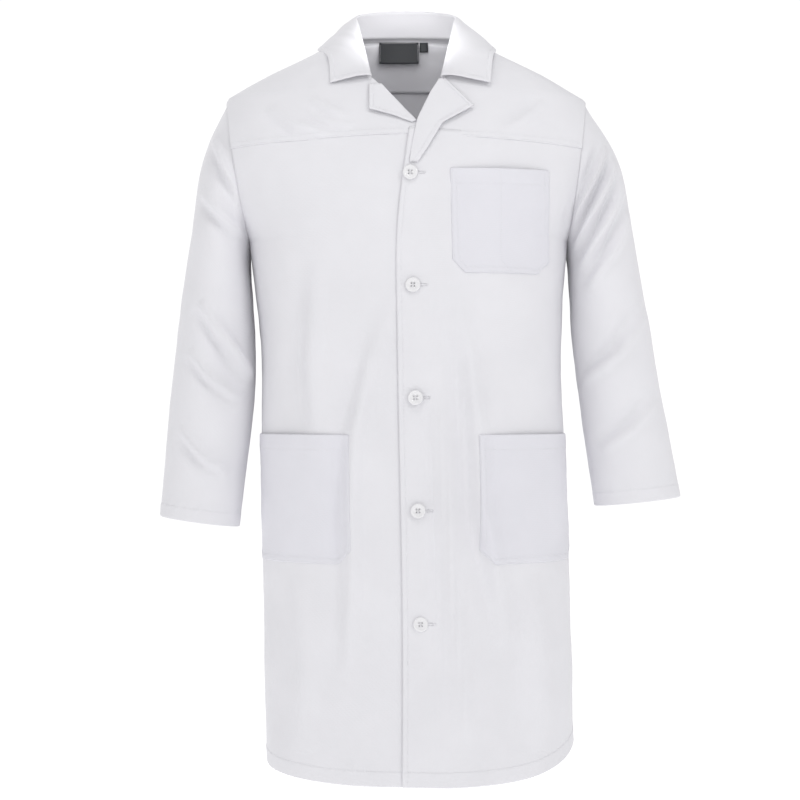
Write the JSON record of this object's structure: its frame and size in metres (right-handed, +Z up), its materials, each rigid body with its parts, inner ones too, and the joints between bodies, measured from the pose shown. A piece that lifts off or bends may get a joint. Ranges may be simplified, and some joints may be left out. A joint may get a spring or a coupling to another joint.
{
  "type": "lab coat",
  "caption": "Knee-length white lab coat with notched collar, buttoned front, chest pocket and lower patch pockets, sleeves that lift and bend.",
  "frame": {"origin": "the nape, the middle of the back neck seam, where the wearer's neck carries the coat", "axes": "+Z up the back, the front faces -Y, +X towards the wearer's left"},
  "size_m": [0.73, 0.3267, 1.082],
  "materials": {
    "twill": "matt white cotton twill with a very slight cool tint",
    "pocket_twill": "matt white cotton twill, two layers, a touch cooler",
    "button_resin": "white polyester resin with a soft gloss",
    "thread": "white polyester sewing thread",
    "label_satin": "plain black woven satin",
    "label_white": "white woven tape"
  },
  "bodies": {
    "root": {"left_front_panel": "twill", "right_front_panel": "twill", "left_front_yoke": "twill", "right_front_yoke": "twill", "left_back_panel": "twill", "right_back_panel": "twill", "back_yoke": "twill", "back_neck_facing": "twill", "collar_stand": "twill", "collar_leaf": "twill", "left_lapel": "twill", "right_lapel": "twill", "chest_pocket": "pocket_twill", "left_lower_pocket": "pocket_twill", "right_lower_pocket": "pocket_twill", "neck_label": "label_satin"},
    "left_upper_arm": {"left_upper_sleeve": "twill"},
    "left_forearm": {"left_lower_sleeve": "twill"},
    "right_upper_arm": {"right_upper_sleeve": "twill"},
    "right_forearm": {"right_lower_sleeve": "twill"},
    "left_front": {"left_front_opening": "twill", "left_facing": "twill"},
    "right_front": {"right_front_opening": "twill", "right_facing": "twill", "button_thread_1": "thread", "button_thread_2": "thread", "button_thread_3": "thread", "button_thread_4": "thread", "button_thread_5": "thread"},
    "first_button": {"button_1": "button_resin"},
    "second_button": {"button_2": "button_resin"},
    "third_button": {"button_3": "button_resin"},
    "fourth_button": {"button_4": "button_resin"},
    "fifth_button": {"button_5": "button_resin"},
    "back_vent": {"back_vent_flap": "twill"},
    "size_tag": {"size_label": "label_white"}
  },
  "joints": [
    {"name": "left_shoulder", "type": "hinge", "parent": "root", "child": "left_upper_arm", "pos_m": [0.252, 0, -0.1], "axis": [0, -1, 0], "range_deg": [0, 75]},
    {"name": "right_shoulder", "type": "hinge", "parent": "root", "child": "right_upper_arm", "pos_m": [-0.252, 0, -0.1], "axis": [0, 1, 0], "range_deg": [0, 75]},
    {"name": "left_elbow", "type": "hinge", "parent": "left_upper_arm", "child": "left_forearm", "pos_m": [0.2955, -0.081, -0.474], "axis": [-0.9976, 0, 0.069], "range_deg": [0, 90]},
    {"name": "right_elbow", "type": "hinge", "parent": "right_upper_arm", "child": "right_forearm", "pos_m": [-0.27, -0.081, -0.483], "axis": [-0.9963, 0, 0.0859], "range_deg": [0, 90]},
    {"name": "left_front_open", "type": "hinge", "parent": "root", "child": "left_front", "pos_m": [0.0675, -0.159, -0.601], "axis": [-0.0466, 0.0136, 0.9988], "range_deg": [0, 100]},
    {"name": "right_front_open", "type": "hinge", "parent": "root", "child": "right_front", "pos_m": [-0.0475, -0.159, -0.601], "axis": [-0.0011, -0.0137, -0.9999], "range_deg": [0, 22]},
    {"name": "first_button_turn", "type": "hinge", "parent": "right_front", "child": "first_button", "pos_m": [0.00524, -0.15124, -0.2157], "axis": [0.0014, -0.9982, 0.0594], "range_deg": [-25, 25]},
    {"name": "second_button_turn", "type": "hinge", "parent": "right_front", "child": "second_button", "pos_m": [0.00869, -0.15767, -0.36739], "axis": [0.0024, -0.9998, 0.0221], "range_deg": [-25, 25]},
    {"name": "third_button_turn", "type": "hinge", "parent": "right_front", "child": "third_button", "pos_m": [0.01214, -0.16039, -0.5189], "axis": [0.0026, -0.9998, 0.0206], "range_deg": [-25, 25]},
    {"name": "fourth_button_turn", "type": "hinge", "parent": "right_front", "child": "fourth_button", "pos_m": [0.0156, -0.16305, -0.67043], "axis": [0.0026, -0.9999, 0.0151], "range_deg": [-25, 25]},
    {"name": "fifth_button_turn", "type": "hinge", "parent": "right_front", "child": "fifth_button", "pos_m": [0.01905, -0.16511, -0.82194], "axis": [0.0026, -0.9999, 0.0128], "range_deg": [-25, 25]},
    {"name": "back_vent_swing", "type": "hinge", "parent": "root", "child": "back_vent", "pos_m": [0.0623, 0.1505, -0.88], "axis": [0.0228, 0.0468, -0.9986], "range_deg": [0, 60]},
    {"name": "size_label_flip", "type": "hinge", "parent": "root", "child": "size_tag", "pos_m": [0.026, 0.05899, -0.004], "axis": [-1, 0, 0], "range_deg": [0, 80]}
  ],
  "couplings": [
    {"joint": "right_front_open", "follows": "left_front_open", "ratio": 0.22}
  ]
}
